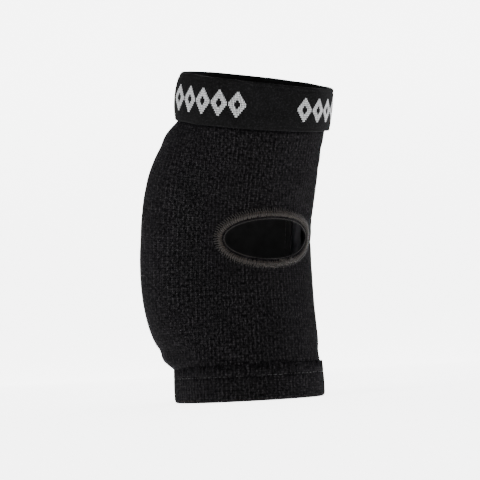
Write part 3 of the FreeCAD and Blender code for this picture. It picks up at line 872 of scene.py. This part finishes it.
def sleeve():
    """The rib-knitted tube, in one piece from inside the hem to inside the cuff, cut out at the crease."""
    rows = 68
    angles = 2 * pi * np.arange(COLUMNS) / COLUMNS
    alongs = np.linspace(3 * MM, CUFF_LOW + 5.4 * MM, rows)
    along, angle = np.meshgrid(alongs, angles, indexing="ij")
    rib = ribs(angle)
    scale, x, y = opening_scale(angle, along, -EDGE_INSIDE)
    quads = grid_faces(rows, COLUMNS)
    quads = quads[(scale.ravel()[quads] > 1).any(1)]
    inside = scale < 1
    stretch = np.where(inside, 1 / np.clip(scale, 0.2, None), 1)
    cut_angle, cut_along = from_opening_axes(x * stretch, y * stretch)
    angle, along = np.where(inside, cut_angle, angle), np.where(inside, cut_along, along)
    beyond = np.clip((scale - 1) * OPENING_HALF_HEIGHT, 0, None)
    pulled = -OPENING_PULL * np.exp(-((beyond - PULL_AT) / PULL_SPREAD) ** 2)
    turn = np.arctan2(y / OPENING_HALF_HEIGHT, x / (ELBOW_RADIUS * 0.8))
    pucker = PUCKER * np.sin(PUCKERS * turn) * np.exp(-beyond / (9 * MM)) * smooth((beyond / MM - 4) / 2)
    slow = wobble(angle, along, size=0.16 * MM, waves=9, seed=5) * smooth((along - HEM_HEIGHT) / (12 * MM))
    slow = slow * smooth((CUFF_LOW - along) / (12 * MM))
    tucked = -0.35 * MM * smooth((HEM_HEIGHT + 2 * MM - along) / (3 * MM))
    outer = SURFACE.at(angle, along, rib + pulled + pucker + slow + tucked)
    inner = SURFACE.at(angle, along, slow - KNIT_THICK + 0.1 * rib)
    column = np.broadcast_to(np.arange(COLUMNS), along.shape)
    uv = np.stack([column / COLUMNS_PER_WALE, along / COURSE], -1).reshape(-1, 2)
    piece = shell("knit_sleeve", outer, inner, quads, uv)
    finish_piece(piece, "knit", KNIT_NODES)


# ---- the hem
def fold_profile():
    """The folded band, from the outer ply's top down, round the fold and up inside."""
    outer, bore, ply, top = [size / MM for size in (HEM_RADIUS, HEM_BORE, HEM_PLY, HEM_HEIGHT)]
    points = [(outer - ply, top - 0.2, 0.3), (outer - 0.7, top, 0.8), (outer - 0.15, top - 0.6, 1)]
    points += wall(outer, top - 1.6, 2.2, 22, 1)
    middle, half = (outer + bore) / 2, (outer - bore) / 2
    for turn in np.linspace(0, pi, 11)[1:-1]:
        points.append((middle + half * cos(turn), 2.2 * (1 - sin(turn)), 0.5 + 0.5 * cos(turn)))
    inner_top = top - 1
    points += wall(bore, 2.2, 12.6, 6) + wall(bore + 0.35, 13.4, inner_top - 0.4, 5)
    points += [(bore + 0.8, inner_top, 0), (bore + ply, inner_top - 0.5, 0)]
    points += wall(bore + ply, inner_top - 3, ply + 1.4, 4) + [(middle, ply + 1, 0)]
    return points + wall(outer - ply, ply + 1.4, top - 2, 5)


def hem():
    def uneven(angle, height, outside):
        """Ribs, the pinch of every stitch, and the dents along the upper edge."""
        stitch = angle * HEM_STITCHES
        pinch = np.exp(-((height - HEM_STITCH_ALONG) / (1.1 * MM)) ** 2) * (0.36 + 0.28 * np.cos(stitch))
        near_top = smooth((height - HEM_HEIGHT + 5.5 * MM) / (5 * MM))
        dents = wobble(angle * 7, 0.0, size=0.38 * MM, waves=8, seed=21)
        dents = dents + 0.12 * MM * np.cos(stitch * 0.5 + 1)
        bulge = 0.15 * MM * np.sin(pi * np.clip(height / HEM_STITCH_ALONG, 0, 1))
        grow = outside * (ribs(angle) * 1.1 - pinch * MM + near_top * (dents - 0.75 * MM) + bulge)
        grow = grow + wobble(angle, 0.0, size=0.12 * MM, waves=6, seed=8) * outside
        return grow, outside * near_top * dents * 1.3
    piece = turned("hem_fold", fold_profile(), COLUMNS, uneven, uvs=True)
    finish_piece(piece, "knit", ["hem_band"], FOREARM, material="hem_knit")


def hem_threads():
    angles = 2 * pi * (np.arange(HEM_STITCHES) + 0.5) / HEM_STITCHES
    step = np.linspace(-0.5, 0.5, 6)
    length = random.uniform(2.1, 2.9, HEM_STITCHES)[:, None] * MM
    angle = angles[:, None] + step * length / HEM_RADIUS
    height = HEM_STITCH_ALONG + random.normal(0, 0.12, (HEM_STITCHES, 1)) * MM
    deep = 0.26 * smooth(0.5 + wobble(angles, 0.0, size=0.45, waves=6, seed=12))[:, None]
    deep = deep + 0.12 * (1 - np.cos(angles - radians(20)))[:, None]
    radius = HEM_RADIUS + (-0.62 - deep + 0.42 * np.cos(pi * step)) * MM
    path, outward = on_tube(angle, height, radius)
    piece = strands("hem_cover_thread", path, outward, 0.27 * MM)
    finish_piece(piece, "black_thread", ["hem_cover_stitches"], FOREARM)
    count = HEM_STITCHES * 12
    angle = 2 * pi * np.arange(count) / count
    height = HEM_STITCH_ALONG + 1.1 * MM * np.sin(angle * HEM_STITCHES / 2)
    path, outward = on_tube(angle, height, HEM_BORE + 0.1 * MM)
    piece = ring_strand("hem_looper", path, outward, (0.2 * MM, 0.2 * MM))
    finish_piece(piece, "black_thread", ["hem_looper_thread"], FOREARM)


# ---- the cuff
def cuff_outside(height):
    """The face's radius at a height, a little crowned."""
    return CUFF_RADIUS - CUFF_EDGE_DROP * (2 * height / CUFF_HEIGHT - 1) ** 4


def cuff_ripple(angle, height):
    """How far the cuff's face stands off a true ring: slack in the band, and the welt woven under its rim."""
    slack = wobble(angle, 0.0, CUFF_SLACK, waves=7, seed=3) - CUFF_SLACK
    welt = -CUFF_WELT * np.exp(-((height - CUFF_WELT_AT) / (0.45 * MM)) ** 2)
    lower = -CUFF_PINCH * np.exp(-((height - CUFF_PINCH_AT) / (0.5 * MM)) ** 2)
    level = height / CUFF_HEIGHT
    back = smooth((np.abs(signed(angle)) - radians(80)) / radians(40))
    rim = CUFF_TURNED_IN * np.exp((height - CUFF_HEIGHT) / (1.8 * MM))
    return slack + welt + lower + back * (CUFF_FLARE * (1 - level) + CUFF_CROWN * np.sin(pi * level) - rim)


def cuff_skew(angle, height):
    """How far the cuff's cloth rises: its lower edge is drawn up at the front and its rim sags there."""
    front = np.cos(angle - CUFF_SKEW_ANGLE)
    far = np.clip(np.sin(angle - CUFF_SKEW_ANGLE), 0, 1)
    level = height / CUFF_HEIGHT
    rim = CUFF_RIM_FAR * far - CUFF_RIM_FRONT * front - CUFF_RIM_LOW
    return (CUFF_SKEW_LOW + CUFF_SKEW * front) * (1 - level) + rim * level


def on_cuff(angle, height, radius):
    """Places on the cuff's cloth, and the directions straight out of it."""
    return on_tube(angle, CUFF_LOW + height + cuff_skew(angle, height), radius)


def cuff_face_profile():
    outer, inner, lip = CUFF_RADIUS / MM, (CUFF_RADIUS - CUFF_FACE_THICK) / MM, CUFF_BORE / MM + 0.5
    heights = [*np.linspace(29.1, 26.2, 8), *np.linspace(25.6, 4.9, 22), *np.linspace(4, 0.9, 7)]
    points = [(cuff_outside(height * MM) / MM, height, 1) for height in heights]
    points += [(outer - 0.75, 0.25, 0.8), (outer - 1.2, 0.10, 0.4), (inner, 0.3, 0), (inner, 1.0, 0)]
    points += wall(inner, 5, 27.5, 6) + [(inner, 28.8, 0), (lip, 29.55, 0), (lip - 0.3, 29.8, 0)]
    return points + [(lip, 30.0, 0), (outer - 1.6, 30.05, 0.4), (outer - 0.8, 29.85, 0.8)]


def cuff_backing_profile():
    bore, back = CUFF_BORE / MM, (CUFF_BORE + CUFF_BACKING_THICK) / MM
    lap = bore + 0.5
    points = wall(bore + 0.1, 6.4, 29, 14, 1) + [(bore + 0.3, 29.45, 0), (back - 0.2, 29.3, 0)]
    points += wall(back, 28, 3, 8) + [(back, 0.9, 0), (lap + 0.25, 0.5, 0)]
    return points + [(lap, 0.9, 0), (lap, 3, 0), (lap, 5.8, 0)]


def cuff():
    def woven(angle, height, outside):
        rib = 0.11 * MM * np.cos(angle * CUFF_RIBS)
        rise = wobble(angle, 0.0, size=0.25 * MM, waves=5, seed=31) * outside
        return outside * (rib + cuff_ripple(angle, height)), rise + cuff_skew(angle, height)
    piece = turned("cuff_face", cuff_face_profile(), CUFF_RIBS * 3, woven, cuff=True)
    finish_piece(piece, "elastic", ["cuff_band_face"], UPPER_ARM)

    def plain(angle, height, inside):
        return -inside * 0.08 * MM * np.cos(angle * CUFF_RIBS / 2), cuff_skew(angle, height)
    piece = turned("cuff_backing", cuff_backing_profile(), CUFF_RIBS, plain, cuff=True)
    finish_piece(piece, "elastic", ["cuff_band_backing"], UPPER_ARM)


def cuff_strands():
    """The covered rubber threads that run round the band, between its face and its backing."""
    heights = STRAND_LOW + STRAND_PITCH * np.arange(STRAND_COUNT)
    height, angle = np.meshgrid(heights, np.linspace(-pi, pi, CUFF_RIBS + 1), indexing="ij")
    path, outward = on_cuff(angle, height, STRAND_AT)
    piece = strands("cuff_rubber_threads", path, outward, STRAND_RADIUS)
    finish_piece(piece, "rubber_thread", ["cuff_elastic_strands"], UPPER_ARM)


def cuff_motif():
    """Groups of stepped diamonds knitted in pale yarn: two leaning stitches for every cell of the pattern."""
    rise = MOTIF_HALF_HEIGHT / MOTIF_STEPS
    cell = MOTIF_HALF_WIDTH / MOTIF_STEPS
    cells = []
    for row in range(2 * MOTIF_STEPS):
        across = min(row, 2 * MOTIF_STEPS - 1 - row) + 1
        for column in range(-across, across):
            x = (column + 0.5) * cell
            y = (row + 0.5) * rise - MOTIF_HALF_HEIGHT
            if abs(x) / MOTIF_HALF_WIDTH + abs(y) / MOTIF_HALF_HEIGHT > MOTIF_HOLLOW:
                cells.append((x, y))
    step = np.linspace(-0.5, 0.5, 5)
    angles, heights = [], []
    for group in MOTIF_GROUPS:
        for i in range(MOTIF_PER_GROUP):
            middle = group + MOTIF_SPACING * (i - (MOTIF_PER_GROUP - 1) / 2)
            for x, y in cells:
                for side in (-1, 1):
                    lean = side * cell * (0.25 - 0.30 * (step + 0.5))
                    angles.append(middle + (x - lean) / CUFF_RADIUS)
                    heights.append(CUFF_HEIGHT / 2 + y + step * rise * 0.98)
    heights = np.array(heights)
    angles = np.array(angles) + random.normal(0, 0.04, (len(angles), 1)) * MM / CUFF_RADIUS
    bow = 0.16 * MM * np.cos(pi * step) - 0.02 * MM
    radius = cuff_outside(heights) + cuff_ripple(angles, heights) + bow
    path, outward = on_cuff(angles, heights, radius)
    thick = random.uniform(0.22, 0.27, len(angles)) * MM
    piece = strands("cuff_motif", path, outward, thick, 5)
    finish_piece(piece, "motif", ["cuff_motif_yarns"], UPPER_ARM)


def cuff_join():
    """The zigzag that closes the band into a loop, as one thread that goes to and fro."""
    rows = 84
    height = np.linspace(1.2 * MM, CUFF_HEIGHT - 1.2 * MM, rows)
    sway = 1.25 * MM * (2 / pi) * np.arcsin(np.sin(np.arange(rows) * pi / 6))
    angle = CUFF_JOIN_ANGLE + sway / CUFF_RADIUS
    radius = cuff_outside(height) + cuff_ripple(angle, height) + 0.2 * MM
    path, outward = on_cuff(angle, height, radius)
    piece = strands("cuff_join_thread", path[None], outward[None], 0.24 * MM, 8)
    finish_piece(piece, "black_thread", ["cuff_join_stitches"], UPPER_ARM)


# ---- the pad inside
def pad_piece(name, slot, node, layers, half_angle, margin, softness):
    """One layer of the pad: thick in its middle, and rounded off towards its edges."""
    columns, rows = 120, 84
    out, inside = layers
    angles = pi + np.linspace(-half_angle, half_angle, columns)
    alongs = np.linspace(PAD_LOW + margin, PAD_HIGH - margin, rows)
    along, angle = np.meshgrid(alongs, angles, indexing="ij")
    outer, inner = SURFACE.layer(angle, along, out), SURFACE.layer(angle, along, inside)
    from_side = (half_angle - np.abs(angle - pi)) * ELBOW_RADIUS
    from_end = np.minimum(along - PAD_LOW, PAD_HIGH - along) - margin
    edge = np.clip(np.minimum(from_side, from_end) / softness, 0, 1)
    full = 0.12 + 0.88 * np.sqrt(1 - (1 - edge) ** 2)
    middle, half = (outer + inner) / 2, (outer - inner) / 2 * full
    quads = grid_faces(rows, columns, closed_columns=False)
    piece = shell(name, place(angle, along, middle + half), place(angle, along, middle - half), quads)
    finish_piece(piece, slot, [node])


def pad():
    margin, half_length = LINING_MARGIN, (PAD_HIGH - PAD_LOW) / 2 - LINING_SEAM_INSET
    pad_piece("pad_foam_shell", "foam", "foam_shell", FOAM, FOAM_HALF_ANGLE, FOAM_MARGIN, 9 * MM)
    pad_piece("pad_comfort_foam", "foam", "foam_comfort_layer", COMFORT, FOAM_HALF_ANGLE, FOAM_MARGIN, 7 * MM)
    pad_piece("pad_lining_cloth", "lining", "pad_lining", LINING, LINING_HALF_ANGLE, margin, margin)
    corners = 900
    turn = 2 * pi * np.arange(corners) / corners
    c, s = np.cos(turn), np.sin(turn)
    squared = 9
    size = (np.abs(c) ** squared + np.abs(s) ** squared) ** (1 / squared)
    angle = pi + LINING_SEAM_HALF_ANGLE * c / size
    along = (PAD_LOW + PAD_HIGH) / 2 + half_length * s / size
    stitch = 0.12 * MM * np.sin(turn * LINING_STITCHES)
    path, outward = on_tube(angle, along, SURFACE.layer(angle, along, LINING[1]) - 0.1 * MM + stitch)
    piece = ring_strand("pad_lining_seam", path, outward, (0.24 * MM, 0.24 * MM))
    finish_piece(piece, "black_thread", ["pad_lining_stitches"])


# ---- the studio
def towards(azimuth, elevation):
    """The direction from the object to a light or the camera."""
    return Vector((sin(azimuth) * cos(elevation), -cos(azimuth) * cos(elevation), sin(elevation)))


def studio():
    """A pale floor that sweeps up into a backdrop, and soft lights."""
    reach, bend = FLOOR_REACH, BACKDROP_BEND
    profile = [(-reach, 0.0)]
    for turn in np.linspace(0, pi / 2, BEND_STEPS + 1):
        profile.append((reach - bend + bend * sin(turn), bend * (1 - cos(turn))))
    profile.append((reach, BACKDROP_HEIGHT))
    forward = -towards(CAMERA_AZIMUTH, 0)
    points = [forward * y + CAMERA_RIGHT * x + Vector((0, 0, z)) for x in (-reach, reach) for y, z in profile]
    quads = grid_faces(2, len(profile), closed_columns=False)
    floor = build("floor", points, quads[:, ::-1])
    floor.data.materials.append(floor_material())
    world = bpy.data.worlds.new("studio")
    world.use_nodes = True
    background = world.node_tree.nodes["Background"].inputs
    background["Color"].default_value = (1, 1, 1, 1)
    background["Strength"].default_value = WORLD_STRENGTH
    bpy.context.scene.world = world
    for name, azimuth, elevation, distance, size, power, tint in LIGHTS:
        light = bpy.data.lights.new(name, "AREA")
        light.size = size
        light.energy = power
        light.color = tint
        lamp = add(name, light)
        direction = towards(CAMERA_AZIMUTH + radians(azimuth), radians(elevation))
        lamp.location = LIGHTS_AIM + direction * distance
        lamp.rotation_euler = direction.to_track_quat("Z", "Y").to_euler()


def camera():
    back = towards(CAMERA_AZIMUTH, CAMERA_ELEVATION)
    level = Matrix((CAMERA_RIGHT, back.cross(CAMERA_RIGHT), back)).transposed().to_4x4()
    at = Matrix.Translation(CAMERA_TARGET + back * CAMERA_DISTANCE)
    lens = bpy.data.cameras.new("camera")
    lens.lens = CAMERA_LENS
    lens.sensor_width = CAMERA_SENSOR
    view = add("camera", lens)
    view.matrix_world = at @ Matrix.Rotation(CAMERA_ROLL, 4, back) @ level
    bpy.context.scene.camera = view


KNIT_NODES = ["sleeve_knit_lower", "sleeve_knit_elbow", "sleeve_knit_upper"]
SURFACE = Surface(KNIT_NODES, low=2.2 * MM, high=186 * MM, step=3 * MM, columns=96)
SURFACE.settle()
sleeve()
crease_roll()
crease_loops()
crease_needle_threads()
crease_tail()
hem()
hem_threads()
cuff()
cuff_strands()
cuff_motif()
cuff_join()
pad()
cuff_seam = frame["nodes"]["cuff_attach_stitches"]
cuff_seam.data.materials.clear()
cuff_seam.data.materials.append(MATERIALS["black_thread"])
studio()
camera()
